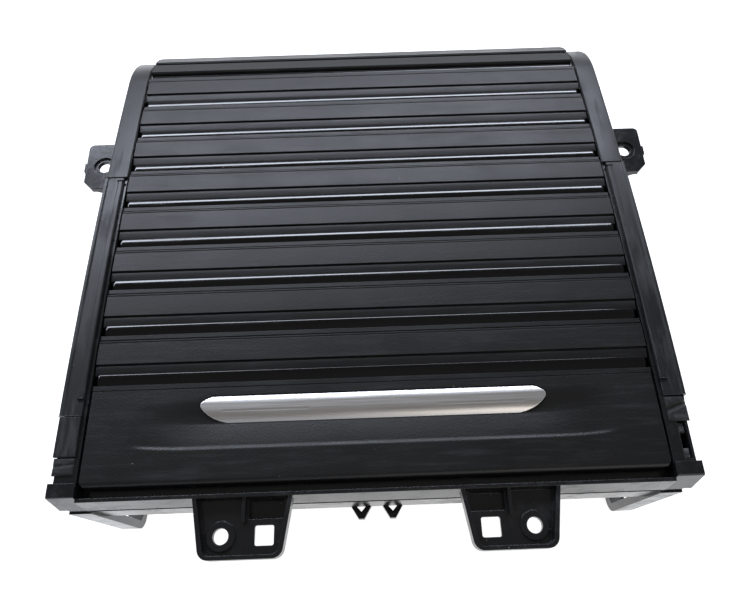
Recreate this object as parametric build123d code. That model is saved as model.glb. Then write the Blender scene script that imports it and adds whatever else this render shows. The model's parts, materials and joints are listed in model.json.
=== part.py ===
"""Console tambour cover: a slatted curtain that slides in a moulded frame.

Millimetres.  +X to the right, +Y from the front wall to the rear bend, +Z up.
The curtain's top face is an arc about an axis far below the frame.  Places
along the curtain are given as an arc length s from the front edge of the
front panel and a depth below the top face.
"""
import os
from math import cos, degrees, radians, sin

from build123d import *

os.makedirs("parts", exist_ok=True)

# ---- driving dimensions ------------------------------------------------
CURTAIN_WIDTH = 190.0
ARC_RADIUS = 1350.0
FRAME_DEPTH = 71.0
SIDE_GAP = 0.5
SLAT_COUNT = 8
SLAT_LENGTH = 14.8
SLAT_THICK = 4.6
WEB_LENGTH = 3.7
WEB_THICK = 1.5
WEB_DEPTH = 1.2
WEB_INSET = 1.0
HINGE_GAP = 0.3
PANEL_LENGTH = 33.9
PANEL_CORNER = 2.5
TAIL_COUNT = 3
TAIL_LENGTH = 7.2
TAIL_WEB = 1.8
TAIL_THICK = 3.4
TAIL_WEB_THICK = 0.8
TAIL_WEB_DEPTH = 1.3
TAIL_WEB_CROWN = 0.1
BEND_RADIUS = 34.0
BEND_ANGLE = 50.0
RAIL_EARLY = 5.0

FRONT_BAND = 3.4
REAR_BAND = 1.7
RIDGE_LENGTH = 0.9
STEP_DROP = 0.7
REAR_DROP = 0.55
LINE_WIDTH = 0.5
LINE_DEPTH = 0.35
EDGE = 0.25
RIDGE_DROP = 0.05
WEB_CROWN = 0.3
POCKET_DEPTH = 2.0
POCKET_WALL = 3.2
END_RIB = 4.0

HANDLE_HALF = 58.0
HANDLE_FRONT = 19.6
HANDLE_REAR = 29.3
HANDLE_THICK = 1.4
HANDLE_POCKET = 1.2
HANDLE_GAP = 0.15
SCOOP_HALF = 81.0
SCOOP_FRONT = 10.8
SCOOP_DROP = 1.9
SCOOP_LIP = 0.5
SCOOP_END = 14.0
SCOOP_CREASE = 0.7
LIP_LENGTH = 1.8
PANEL_HOLLOW = 1.0
PANEL_RIB = 1.2
PANEL_RIB_LIFT = 0.2
PANEL_RIB_X = (-60, -30, 0, 30, 60)
HANDLE_SHOULDER = 3.5
HANDLE_TIP = 2.2
HANDLE_SLANT = 8.0
HANDLE_BOW = 0.9
HANDLE_ROUND = 1.0
TAIL_CHAMFER = 0.6
TAIL_START = 0.8

PLATE = 4.5
FLANGE_REACH = 7.3
FLANGE_THICK = 1.5
TRACK_DEPTH = 1.55
TRACK_HEIGHT = 2.9
TRACK_CUT = 3.1
SHOE_HEIGHT = 2.4
SHOE_REACH = 2.7
SHOE_LENGTH = 7.0
SHOE_STOP = 0.4
LEDGE_REACH = 3.0
LEDGE_THICK = 1.6
LEDGE_GAP = 0.3
LEDGE_FALL = 0.9
CAP_THICK = 0.9
CAP_SKIRT = 1.2
CAP_SKIRT_DROP = 6.0
CAP_SEAM = 122.0
CAP_FRONT = 23.3
RIB_START = 29.0
RIB_SLOT = 1.7
RIB_WIDTH = 1.9
RIB_RAISE = 0.6
RIDGE_WIDTH = 1.1
RIDGE_RAISE = 0.5
RIB_STOP = 2.0
CAP_JOINT = 0.2

BLOCK_REAR = 1.6
BLOCK_TOP_FRONT = 2.9
BLOCK_BASE_FRONT = 5.3
FOOT_HEIGHT = 4.0
TOE_FRONT = 6.0
BLOCK_HEIGHT = 11.5
BLOCK_PROUD = 0.8
WALL_GAP = 3.1
WALL_TOP = 0.8
WALL_BANDS = [(10.2, 1.2, 2.4), (6.0, 1.3, 1.3), (13.0, 1.9, 1.9)]
BRACKET_REACH = 16.0
BRACKET_THICK = 2.2
BRACKET_TOP = 14.0
BRACKET_HEIGHT = 14.0
CORNER_ROUND = 7.0
RIM_WIDTH = 3.0
WINDOW_LENGTH = 62.0
WINDOW_TOP = 26.0
WINDOW_SLANT = 30.0
WINDOW_CORNER = 4.0
BRACKET_SCREW = 5.0
LEDGE_START = 3.0
TRACK_END = 3.0
SHOE_ROUND = 0.7
REAR_SHOE = 6.0
FOOT_SHORT = 1.0
BLOCK_ROUND = 0.8
BLOCK_WIDER = 0.2

TAB_CENTRE = 42.6
TAB_ROOT = 32.0
TAB_TIP = 25.5
TAB_REACH = 18.5
TAB_WALL = 1.3
TAB_HEIGHT = 5.0
TAB_FLOOR = 1.4
TAB_ROUND = 3.5
TAB_HOLE_OFFSET = 6.8
TAB_HOLE_INSET = 7.1
TAB_HOLE_R = 2.5
TAB_BOSS_R = 4.6
TAB_BOSS_RAISE = 0.8
SQUARE_OFFSET = 6.8
SQUARE_SIDE = 6.1
TAB_WELL_LENGTH = 7.0
TAB_RIB_OFFSET = 0.5
TAB_RIB = 1.0
TAB_RIB_DROP = 0.6
TAB_SINK = 0.6
TAB_WELL_INSET = 1.8
TAB_BELOW_WALL = 0.4
SQUARE_ROUND = 0.7
POCKET_DROP = 2.4

EAR_Y = 131.8
EAR_LENGTH = 22.0
EAR_REACH = 12.6
EAR_THICK = 2.2
EAR_TOP = 10.0
EAR_HOLE_REACH = 5.2
EAR_HOLE_R = 2.6
EAR_SINK_R = 4.2
EAR_SINK = 0.7
EAR_CHAMFER = 3.5
EAR_ROUND = 2.0
EAR_CLEAR = 0.3
GUSSET_THICK = 1.6
GUSSET_DROP = 5.0
GUSSET_SHORT = 5.0
NUB_LENGTH = 4.0
NUB_REACH = 1.0
NUB_THICK = 1.6

LOOP_X = 5.6
LOOP_WIDTH = 10.0
LOOP_REACH = 6.6
LOOP_THICK = 1.5
LOOP_HEIGHT = 4.0
LOOP_LAP = 0.6
LOOP_ARM = 2.6
LOOP_NOSE = 2.0
LOOP_TIP = 2.4

BAR_Y = 152.0
BAR_LENGTH = 18.0
BAR_HEIGHT = 9.0
BAR_WALL = 2.2
SCREW_R = 1.5
SCREW_HEAD_R = 3.0
SCREW_HEAD = 1.8
SCREW_LENGTH = 6.0
SCREW_FIT = 0.05
DRIVE_DEPTH = 0.8
DRIVE_SLOT = 0.7
DRIVE_WIDTH = 3.2
LEFT_BUMPER = 5.6
RIGHT_BUMPER = 8.6
BUMPER_SET_BACK = 2.4
BUMPER_CREASES = (0.35, 0.68)
CREASE_WIDTH = 0.5
CREASE_FLOOR = 0.45
END_BLOCK_GAP = 0.3
END_BLOCK_RAISE = 0.3
RECESS_DROP = 7.0
PAD_LENGTH = 3.4
PAD_HEIGHT = 6.0
PAD_CLEAR = 0.15
PAD_ROUND = 0.6
PAD_PLACES = {"front": 2.6, "rear": 11.0}
POCKET_SKIN = 0.8
SHELF_REACH = 2.6
SHELF_TOP = 5.9
SHELF_THICK = 1.5

# ---- places worked out from the sizes ----------------------------------
HALF = CURTAIN_WIDTH / 2
PITCH = SLAT_LENGTH + WEB_LENGTH
INNER = HALF + SIDE_GAP
PLATE_OUT = INNER + PLATE
FLANGE_OUT = INNER + FLANGE_REACH
CAP_OUT = FLANGE_OUT + CAP_SKIRT
RAIL_INNER = INNER + RIB_SLOT - SIDE_GAP
CURTAIN_END = PANEL_LENGTH + SLAT_COUNT * PITCH
BEND_START = CURTAIN_END + 1.0
RAIL_BEND = BEND_START - RAIL_EARLY
WALL_BACK = -WALL_GAP
TAB_ROOT_Y = WALL_BACK - WALL_BANDS[0][1]
TAB_FRONT = TAB_ROOT_Y - TAB_REACH
BLOCK_BASE = BLOCK_PROUD - BLOCK_HEIGHT
TOE_TOP = BLOCK_BASE - FOOT_HEIGHT
TAB_TOP = -WALL_TOP - TAB_BELOW_WALL
TAB_HOLE_X = TAB_CENTRE + TAB_HOLE_OFFSET
TAB_HOLE_Y = TAB_FRONT + TAB_HOLE_INSET
SQUARE_X = TAB_CENTRE - SQUARE_OFFSET
TAB_RIB_X = TAB_CENTRE - TAB_RIB_OFFSET
EAR_HOLE_X = FLANGE_OUT + EAR_HOLE_REACH


def arc_point(s, depth=0.0):
    """(Y, Z) at arc length s along the curtain and depth below its top."""
    angle = s / ARC_RADIUS
    radius = ARC_RADIUS - depth
    return radius * sin(angle), radius * cos(angle) - ARC_RADIUS


def bend_point(turn, depth=0.0, start=None):
    """(Y, Z) on the rear bend, turn degrees past its start."""
    start = start or BEND_START
    centre_y, centre_z = arc_point(start, BEND_RADIUS)
    radius = BEND_RADIUS - depth
    angle = start / ARC_RADIUS + radians(turn)
    return centre_y + radius * sin(angle), centre_z + radius * cos(angle)


REAR_Y = bend_point(BEND_ANGLE, 0.0, RAIL_BEND)[0]
REAR_END = bend_point(BEND_ANGLE, -CAP_THICK, RAIL_BEND)[0]
BASE_Z = -FRAME_DEPTH
TO_ORIGIN = Location((0, -(REAR_END + TAB_FRONT) / 2, FRAME_DEPTH))


def save(shape, name):
    """Move a piece into the part's frame and write its file."""
    export_step(TO_ORIGIN * shape, f"parts/{name}.step")


def mirrored(shape):
    return mirror(shape, about=Plane.YZ)


def save_pair(shape, name):
    """Write the right-hand piece and its mirror image on the left."""
    save(shape, "right_" + name)
    save(mirrored(shape), "left_" + name)


def box_between(x0, x1, y0, y1, z0, z1):
    size = (x1 - x0, y1 - y0, z1 - z0)
    middle = ((x0 + x1) / 2, (y0 + y1) / 2, (z0 + z1) / 2)
    return Pos(*middle) * Box(*size)


def side_slab(outline, x0, x1):
    """Extrude a closed (Y, Z) outline of points from x0 to x1."""
    face = make_face(Polyline(*outline, close=True))
    return Pos(x0, 0, 0) * extrude(Plane.YZ * face, amount=x1 - x0)


def arc_band(s0, s1, top, bottom, x0, x1, fall=0.0):
    """A bar that follows the curtain's arc from s0 to s1.

    top and bottom are depths below the curtain's top face; fall lowers
    the rear end of both."""
    middle = (s0 + s1) / 2
    upper = ThreePointArc(
        arc_point(s0, top), arc_point(middle, top + fall / 4), arc_point(s1, top + fall)
    )
    rear = Line(arc_point(s1, top + fall), arc_point(s1, bottom + fall))
    lower = ThreePointArc(
        arc_point(s1, bottom + fall), arc_point(middle, bottom + fall / 4), arc_point(s0, bottom)
    )
    front = Line(arc_point(s0, bottom), arc_point(s0, top))
    face = make_face([upper, rear, lower, front])
    return Pos(x0, 0, 0) * extrude(Plane.YZ * face, amount=x1 - x0)


def bend_band(top, bottom, x0, x1):
    """A bar that follows the rails' bend, from its start to BEND_ANGLE."""
    turns = (0, BEND_ANGLE / 2, BEND_ANGLE)
    above = [bend_point(turn, top, RAIL_BEND) for turn in turns]
    below = [bend_point(turn, bottom, RAIL_BEND) for turn in turns]
    upper = ThreePointArc(*above)
    rear = Line(above[-1], below[-1])
    lower = ThreePointArc(*below[::-1])
    front = Line(below[0], above[0])
    face = make_face([upper, rear, lower, front])
    return Pos(x0, 0, 0) * extrude(Plane.YZ * face, amount=x1 - x0)


def on_arc(s):
    """Place whose Y axis is the curtain's tangent and Z its outward normal."""
    y, z = arc_point(s)
    return Location((0, y, z), (-degrees(s / ARC_RADIUS), 0, 0))


def on_bend(turn):
    y, z = bend_point(turn)
    return Location((0, y, z), (-degrees(BEND_START / ARC_RADIUS) - turn, 0, 0))


# ---- curtain -------------------------------------------------------------
def slat():
    """One slat: a raised face and a ridge between two lower bands, hollow below."""
    face_front = FRONT_BAND + LINE_WIDTH
    ridge_rear = SLAT_LENGTH - REAR_BAND - LINE_WIDTH
    face_rear = ridge_rear - RIDGE_LENGTH
    outline = [
        (0, -SLAT_THICK),
        (0, -STEP_DROP - EDGE),
        (EDGE, -STEP_DROP),
        (FRONT_BAND, -STEP_DROP),
        (FRONT_BAND, -STEP_DROP - LINE_DEPTH),
        (face_front, -STEP_DROP - LINE_DEPTH),
        (face_front, -EDGE),
        (face_front + EDGE, 0),
        (face_rear, 0),
        (face_rear + EDGE / 2, -EDGE),
        (face_rear + EDGE, -RIDGE_DROP),
        (ridge_rear - EDGE, -RIDGE_DROP),
        (ridge_rear, -RIDGE_DROP - EDGE),
        (ridge_rear, -REAR_DROP - LINE_DEPTH),
        (ridge_rear + LINE_WIDTH, -REAR_DROP - LINE_DEPTH),
        (ridge_rear + LINE_WIDTH, -REAR_DROP),
        (SLAT_LENGTH - EDGE, -REAR_DROP),
        (SLAT_LENGTH, -REAR_DROP - EDGE),
        (SLAT_LENGTH, -SLAT_THICK),
    ]
    body = side_slab(outline, -HALF, HALF)
    pocket = box_between(
        -HALF + END_RIB, HALF - END_RIB,
        POCKET_WALL, SLAT_LENGTH - POCKET_WALL,
        -SLAT_THICK, -SLAT_THICK + POCKET_DEPTH,
    )
    return body - pocket


def web(start, length, thick, depth, crown):
    """The strip behind a slat, from its rear edge at start, with a rounded top."""
    middle = start + length / 2
    section = make_face([
        ThreePointArc((start, -depth), (middle, crown - depth), (start + length, -depth)),
        Line((start + length, -depth), (start + length, -depth - thick)),
        Line((start + length, -depth - thick), (start, -depth - thick)),
        Line((start, -depth - thick), (start, -depth)),
    ])
    strip = extrude(Plane.YZ * section, amount=2 * (HALF - WEB_INSET))
    return Pos(-HALF + WEB_INSET, 0, 0) * strip


def tail_strip():
    """A narrow strip of the curtain's tail, with a chamfered front edge."""
    outline = [
        (-TAIL_LENGTH / 2, -TAIL_THICK),
        (-TAIL_LENGTH / 2, -TAIL_CHAMFER),
        (-TAIL_LENGTH / 2 + TAIL_CHAMFER, 0),
        (TAIL_LENGTH / 2 - TAIL_CHAMFER, 0),
        (TAIL_LENGTH / 2, -TAIL_CHAMFER),
        (TAIL_LENGTH / 2, -TAIL_THICK),
    ]
    return side_slab(outline, -HALF, HALF)


def handle_outline():
    """Plan of the handle: straight rear edge, pointed ends, bowed front."""
    point = HANDLE_HALF
    rear = HANDLE_REAR
    front = HANDLE_FRONT
    shoulder = HANDLE_SHOULDER
    tip = rear - HANDLE_TIP
    slant = HANDLE_SLANT
    bow = front + HANDLE_BOW
    return make_face([
        Line((-point + shoulder, rear), (point - shoulder, rear)),
        Line((point - shoulder, rear), (point, tip)),
        Line((point, tip), (point - slant, bow)),
        ThreePointArc((point - slant, bow), (0, front), (-point + slant, bow)),
        Line((-point + slant, bow), (-point, tip)),
        Line((-point, tip), (-point + shoulder, rear)),
    ])


def lip_zone(grow=0.0):
    """The band of the panel where the handle turns down into the scoop."""
    reach = HANDLE_HALF + 5
    rear = HANDLE_FRONT + LIP_LENGTH + grow
    return box_between(-reach, reach, HANDLE_FRONT - 5, rear, -5, 5)


def scoop():
    """The finger scoop: shallow at its front crease, deep at the handle."""
    section = make_face(Polyline(
        (SCOOP_FRONT, 1.0),
        (SCOOP_FRONT, 0.0),
        (SCOOP_FRONT + SCOOP_CREASE, -SCOOP_LIP),
        (HANDLE_FRONT, -SCOOP_DROP),
        (HANDLE_FRONT + LIP_LENGTH, -SCOOP_DROP),
        (HANDLE_FRONT + LIP_LENGTH, 1.0),
        close=True,
    ))
    wedge = extrude(Plane.YZ * section, amount=SCOOP_HALF, both=True)
    plan = make_face([
        Line((-SCOOP_HALF, HANDLE_REAR), (SCOOP_HALF, HANDLE_REAR)),
        Line((SCOOP_HALF, HANDLE_REAR), (SCOOP_HALF, HANDLE_FRONT)),
        Spline((SCOOP_HALF, HANDLE_FRONT), (SCOOP_HALF - SCOOP_END, SCOOP_FRONT),
               tangents=[(0, -1), (-1, 0)]),
        Line((SCOOP_HALF - SCOOP_END, SCOOP_FRONT), (-SCOOP_HALF + SCOOP_END, SCOOP_FRONT)),
        Spline((-SCOOP_HALF + SCOOP_END, SCOOP_FRONT), (-SCOOP_HALF, HANDLE_FRONT),
               tangents=[(-1, 0), (0, 1)]),
        Line((-SCOOP_HALF, HANDLE_FRONT), (-SCOOP_HALF, HANDLE_REAR)),
    ])
    middle = wedge & (Pos(0, 0, -5) * extrude(plan, amount=10))
    clear = HANDLE_HALF + HANDLE_GAP
    ends = [
        box_between(x0, x1, HANDLE_FRONT - 1, HANDLE_REAR, -5, 5)
        for x0, x1 in ((-SCOOP_HALF - 1, -clear), (clear, SCOOP_HALF + 1))
    ]
    return middle - ends


def front_panel():
    """The leading plate: handle pocket, finger scoop and stepped rear edge."""
    plate = arc_band(0, PANEL_LENGTH, 0, SLAT_THICK, -HALF, HALF)
    corners = plate.edges().filter_by(Axis.Z).sort_by(Axis.Y)[:2]
    plate = fillet(corners, PANEL_CORNER)
    band = PANEL_LENGTH - REAR_BAND
    step = arc_band(band, PANEL_LENGTH, -1, REAR_DROP, -HALF - 1, HALF + 1)
    line_depth = REAR_DROP + LINE_DEPTH
    line = arc_band(band - LINE_WIDTH, band, -1, line_depth, -HALF - 1, HALF + 1)
    room = offset(handle_outline(), amount=HANDLE_GAP, kind=Kind.INTERSECTION)
    recess = Pos(0, 0, -HANDLE_POCKET) * extrude(room, amount=3)
    lip_room = Pos(0, 0, -SCOOP_DROP) * extrude(room, amount=SCOOP_DROP)
    lip_room = lip_room & lip_zone(HANDLE_GAP)
    hollow = box_between(
        -HALF + END_RIB, HALF - END_RIB, END_RIB, PANEL_LENGTH - END_RIB,
        -SLAT_THICK - 1, -SLAT_THICK + PANEL_HOLLOW,
    )
    plate = plate - step - line - recess - lip_room - scoop() - hollow
    rib_start = END_RIB - PANEL_RIB / 2
    ribs = [
        box_between(
            x - PANEL_RIB / 2, x + PANEL_RIB / 2, rib_start, PANEL_LENGTH - rib_start,
            -SLAT_THICK + PANEL_RIB_LIFT, -SLAT_THICK + PANEL_HOLLOW + PANEL_RIB_LIFT,
        )
        for x in PANEL_RIB_X
    ]
    return plate + ribs


def handle_strip():
    """The aluminium strip: its front edge rolls down into the scoop."""
    strip = Pos(0, 0, -HANDLE_POCKET) * extrude(handle_outline(), amount=HANDLE_THICK)
    lip = Pos(0, 0, -SCOOP_DROP) * extrude(handle_outline(), amount=SCOOP_DROP)
    strip = strip + (lip & lip_zone())
    top_edges = strip.faces().sort_by(Axis.Z)[-1].edges().sort_by(Axis.Y)
    return fillet(top_edges[:1], HANDLE_ROUND)


def shoe(s):
    """A guide shoe that runs in the side track."""
    middle = TRACK_DEPTH + TRACK_HEIGHT / 2
    pad = box_between(
        HALF, HALF + SIDE_GAP + SHOE_REACH,
        -SHOE_LENGTH / 2, SHOE_LENGTH / 2,
        -middle - SHOE_HEIGHT / 2, -middle + SHOE_HEIGHT / 2,
    )
    pad = fillet(pad.edges().filter_by(Axis.X), SHOE_ROUND)
    return on_arc(s) * pad


def slat_front(number):
    """Arc length of the front edge of slat number 1, 2, 3..."""
    return PANEL_LENGTH + WEB_LENGTH + (number - 1) * PITCH


def tail_turn(number):
    """Turn of the middle of tail strip number 1, 2, 3... past the bend's start."""
    pitch = degrees((TAIL_LENGTH + TAIL_WEB) / (BEND_RADIUS - TAIL_THICK / 2))
    return (number - 0.5) * pitch + degrees(TAIL_START / BEND_RADIUS)


def tail_web(number):
    """The strip between tail strip number and the piece in front of it."""
    length = TAIL_WEB - 2 * HINGE_GAP
    if number == 1:
        reach = BEND_START - CURTAIN_END + length
        strip = web(SLAT_LENGTH, reach, TAIL_WEB_THICK, TAIL_WEB_DEPTH, TAIL_WEB_CROWN)
        return on_arc(slat_front(SLAT_COUNT)) * strip
    strip = web(TAIL_LENGTH / 2, length, TAIL_WEB_THICK, TAIL_WEB_DEPTH, TAIL_WEB_CROWN)
    return on_bend(tail_turn(number - 1)) * strip


def slat_web(number):
    """The strip between slat number and the piece in front of it."""
    length = WEB_LENGTH - HINGE_GAP
    if number == 1:
        return on_arc(PANEL_LENGTH) * web(0, length, WEB_THICK, WEB_DEPTH, WEB_CROWN)
    strip = web(SLAT_LENGTH, length, WEB_THICK, WEB_DEPTH, WEB_CROWN)
    return on_arc(slat_front(number - 1)) * strip


# ---- frame ---------------------------------------------------------------
def cheek_outline():
    """Closed (Y, Z) face of a cheek: arched top, bent rear, square base."""
    top_start = arc_point(BLOCK_REAR)
    top_middle = arc_point(RAIL_BEND / 2)
    bend_from = bend_point(0, 0.0, RAIL_BEND)
    bend_middle = bend_point(BEND_ANGLE / 2, 0.0, RAIL_BEND)
    bend_to = bend_point(BEND_ANGLE, 0.0, RAIL_BEND)
    toe = -TOE_FRONT
    wall_y = WALL_BACK + 0.1
    corner_y = toe + CORNER_ROUND
    corner_z = BASE_Z + CORNER_ROUND
    bevel = CORNER_ROUND * (1 - cos(radians(45)))
    return make_face([
        ThreePointArc(top_start, top_middle, bend_from),
        ThreePointArc(bend_from, bend_middle, bend_to),
        Line(bend_to, (REAR_Y, BASE_Z + CORNER_ROUND)),
        ThreePointArc(
            (REAR_Y, corner_z),
            (REAR_Y - bevel, BASE_Z + bevel),
            (REAR_Y - CORNER_ROUND, BASE_Z),
        ),
        Line((REAR_Y - CORNER_ROUND, BASE_Z), (corner_y, BASE_Z)),
        ThreePointArc((corner_y, BASE_Z), (toe + bevel, BASE_Z + bevel), (toe, corner_z)),
        Line((toe, corner_z), (toe, TOE_TOP)),
        Line((toe, TOE_TOP), (wall_y, TOE_TOP)),
        Line((wall_y, TOE_TOP), (wall_y, BLOCK_BASE)),
        Line((wall_y, BLOCK_BASE), (BLOCK_REAR, BLOCK_BASE)),
        Line((BLOCK_REAR, BLOCK_BASE), top_start),
    ])


def window_outline():
    """The cheek's window: upright front, sloping top, clear of the rim."""
    front = RIM_WIDTH - TOE_FRONT
    low = BASE_Z + RIM_WIDTH
    cut = WINDOW_CORNER
    points = [
        (front, low + cut),
        (front, -WINDOW_TOP - cut),
        (front + cut, -WINDOW_TOP),
        (front + WINDOW_LENGTH - WINDOW_SLANT, -WINDOW_TOP),
        (front + WINDOW_LENGTH, low),
        (front + cut, low),
    ]
    return make_face(Polyline(*points, close=True))


def ear():
    """The side ear: a screw plate on the outside of the cheek."""
    y0 = EAR_Y - EAR_LENGTH / 2
    y1 = EAR_Y + EAR_LENGTH / 2
    out = FLANGE_OUT + EAR_REACH
    plan = make_face(Polyline(
        (PLATE_OUT, y0),
        (out - EAR_CHAMFER, y0),
        (out, y0 + EAR_CHAMFER),
        (out, y1),
        (PLATE_OUT, y1),
        close=True,
    ))
    under = -EAR_TOP - EAR_THICK
    plate = Pos(0, 0, under) * extrude(plan, amount=EAR_THICK)
    corner = plate.edges().filter_by(Axis.Z).group_by(Axis.X)[-1].sort_by(Axis.Y)[-1:]
    plate = fillet(corner, EAR_ROUND)
    nub = box_between(
        out, out + NUB_REACH, EAR_Y - NUB_LENGTH / 2, EAR_Y + NUB_LENGTH / 2,
        under, under + NUB_THICK,
    )
    triangle = [(PLATE_OUT, under), (out - GUSSET_SHORT, under), (PLATE_OUT, under - GUSSET_DROP)]
    gusset = [side_slab_y(triangle, y, y + GUSSET_THICK) for y in (y0, y1 - GUSSET_THICK)]
    hole = Pos(EAR_HOLE_X, EAR_Y, -EAR_TOP) * Cylinder(EAR_HOLE_R, 4 * EAR_THICK)
    sink = Pos(EAR_HOLE_X, EAR_Y, -EAR_TOP) * Cylinder(EAR_SINK_R, 2 * EAR_SINK)
    return plate + nub + gusset - hole - sink


def side_slab_y(outline, y0, y1):
    """Extrude a closed (X, Z) outline of points from y0 to y1."""
    face = make_face(Polyline(*outline, close=True))
    return extrude(Plane.XZ.offset(-y0) * face, amount=-(y1 - y0))


def screw_places():
    """(Y, Z) of the screws that hold the wall brackets and the tie bar."""
    bracket = (BRACKET_REACH - BRACKET_SCREW, -BRACKET_TOP - BRACKET_HEIGHT / 2)
    bar = (BAR_Y + BAR_LENGTH / 2, BASE_Z + BAR_HEIGHT / 2)
    return [bracket, bar]


def cheek():
    """The right cheek: plate, flanges, side track, support ledge and ear."""
    outline = cheek_outline()
    plate = Pos(INNER, 0, 0) * extrude(Plane.YZ * outline, amount=PLATE)
    rim_face = outline - offset(outline, amount=-FLANGE_THICK)
    rim = Pos(INNER, 0, 0) * extrude(Plane.YZ * rim_face, amount=FLANGE_REACH)
    window = Pos(INNER - 1, 0, 0) * extrude(Plane.YZ * window_outline(), amount=PLATE + 2)
    track = arc_band(
        0, RAIL_BEND - TRACK_END, TRACK_DEPTH, TRACK_DEPTH + TRACK_HEIGHT, INNER - 1, INNER + TRACK_CUT
    )
    ledge_top = SLAT_THICK + LEDGE_GAP
    ledge = arc_band(
        LEDGE_START, RAIL_BEND - 2 * TRACK_END, ledge_top, ledge_top + LEDGE_THICK,
        INNER - LEDGE_REACH, INNER, LEDGE_FALL,
    )
    holes = [
        Pos(INNER, y, z) * Rot(0, 90, 0) * Cylinder(SCREW_R + SCREW_FIT, 3 * PLATE)
        for y, z in screw_places()
    ]
    return plate + rim + ledge + ear() - window - track - holes


def recess():
    """The open pocket in the top of the right cheek, in front of the cap."""
    return box_between(
        INNER + TRACK_CUT + POCKET_SKIN, FLANGE_OUT - POCKET_SKIN,
        BLOCK_REAR + POCKET_SKIN, CAP_FRONT - RIGHT_BUMPER + POCKET_SKIN, -RECESS_DROP, 2,
    )


def recess_tray():
    """Floor and outer wall of that pocket, outside the plate."""
    base = -RECESS_DROP - FLANGE_THICK
    floor = box_between(PLATE_OUT, FLANGE_OUT, BLOCK_REAR, CAP_FRONT, base, -RECESS_DROP)
    wall = box_between(
        FLANGE_OUT - POCKET_SKIN, FLANGE_OUT, BLOCK_REAR, CAP_FRONT, base, -FLANGE_THICK / 2
    )
    return floor + wall


def recess_pad(y):
    """A pad of foam on the pocket's floor."""
    x0 = INNER + TRACK_CUT + POCKET_SKIN + PAD_CLEAR
    x1 = FLANGE_OUT - POCKET_SKIN - PAD_CLEAR
    pad = box_between(x0, x1, y, y + PAD_LENGTH, -RECESS_DROP, -RECESS_DROP + PAD_HEIGHT)
    return fillet(pad.faces().sort_by(Axis.Z)[-1].edges(), PAD_ROUND)


def ear_slot():
    """Room in a cap's skirt for the ear to pass through."""
    return box_between(
        FLANGE_OUT - 1, CAP_OUT + 1,
        EAR_Y - EAR_LENGTH / 2 - EAR_CLEAR, EAR_Y + EAR_LENGTH / 2 + EAR_CLEAR,
        -EAR_TOP - EAR_THICK - 1, -EAR_TOP + EAR_CLEAR,
    )


def rear_cap():
    """The smooth cap over the rear half of the rail and round its bend."""
    top = arc_band(CAP_SEAM + CAP_JOINT, RAIL_BEND, -CAP_THICK, 0, INNER, CAP_OUT)
    skirt = arc_band(CAP_SEAM + CAP_JOINT, RAIL_BEND, 0, CAP_SKIRT_DROP, FLANGE_OUT, CAP_OUT)
    bend = bend_band(-CAP_THICK, 0, INNER, CAP_OUT)
    bend_skirt = bend_band(0, CAP_SKIRT_DROP, FLANGE_OUT, CAP_OUT)
    cap = top + skirt + bend + bend_skirt
    return cap - ear_slot()


def front_cap():
    """The cap over the front half: outer ridge, flat face, inner rib."""
    inner = RAIL_INNER
    top = arc_band(CAP_FRONT, CAP_SEAM, -CAP_THICK, 0, inner, CAP_OUT)
    skirt = arc_band(CAP_FRONT, CAP_SEAM, 0, CAP_SKIRT_DROP, FLANGE_OUT, CAP_OUT)
    ridge = arc_band(
        CAP_FRONT, CAP_SEAM, -CAP_THICK - RIDGE_RAISE, -CAP_THICK, CAP_OUT - RIDGE_WIDTH, CAP_OUT
    )
    rib = arc_band(
        RIB_START, CAP_SEAM - RIB_STOP, -CAP_THICK - RIB_RAISE, -CAP_THICK, inner, inner + RIB_WIDTH
    )
    return top + skirt + ridge + rib - ear_slot()


def corner_block():
    """The block at the end of the front wall, with a small foot below."""
    outline = [
        (BLOCK_REAR, BLOCK_PROUD),
        (-BLOCK_TOP_FRONT, BLOCK_PROUD),
        (-BLOCK_BASE_FRONT, BLOCK_BASE),
        (BLOCK_REAR, BLOCK_BASE),
    ]
    block = side_slab(outline, INNER, CAP_OUT + BLOCK_WIDER)
    top_front = block.edges().filter_by(Axis.X).group_by(Axis.Z)[-1].sort_by(Axis.Y)[:1]
    block = fillet(top_front, BLOCK_ROUND)
    foot = box_between(
        INNER, FLANGE_OUT - FOOT_SHORT, -BLOCK_BASE_FRONT, WALL_BACK, TOE_TOP, BLOCK_BASE
    )
    return block + foot


def wall_outline():
    """Closed (Y, Z) section of the front wall with its stepped bands."""
    points = [(WALL_BACK, -WALL_TOP)]
    z = -WALL_TOP
    for height, top_depth, low_depth in WALL_BANDS:
        points.append((WALL_BACK - top_depth, z))
        z = z - height
        points.append((WALL_BACK - low_depth, z))
    points.append((WALL_BACK, z))
    return points


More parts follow.
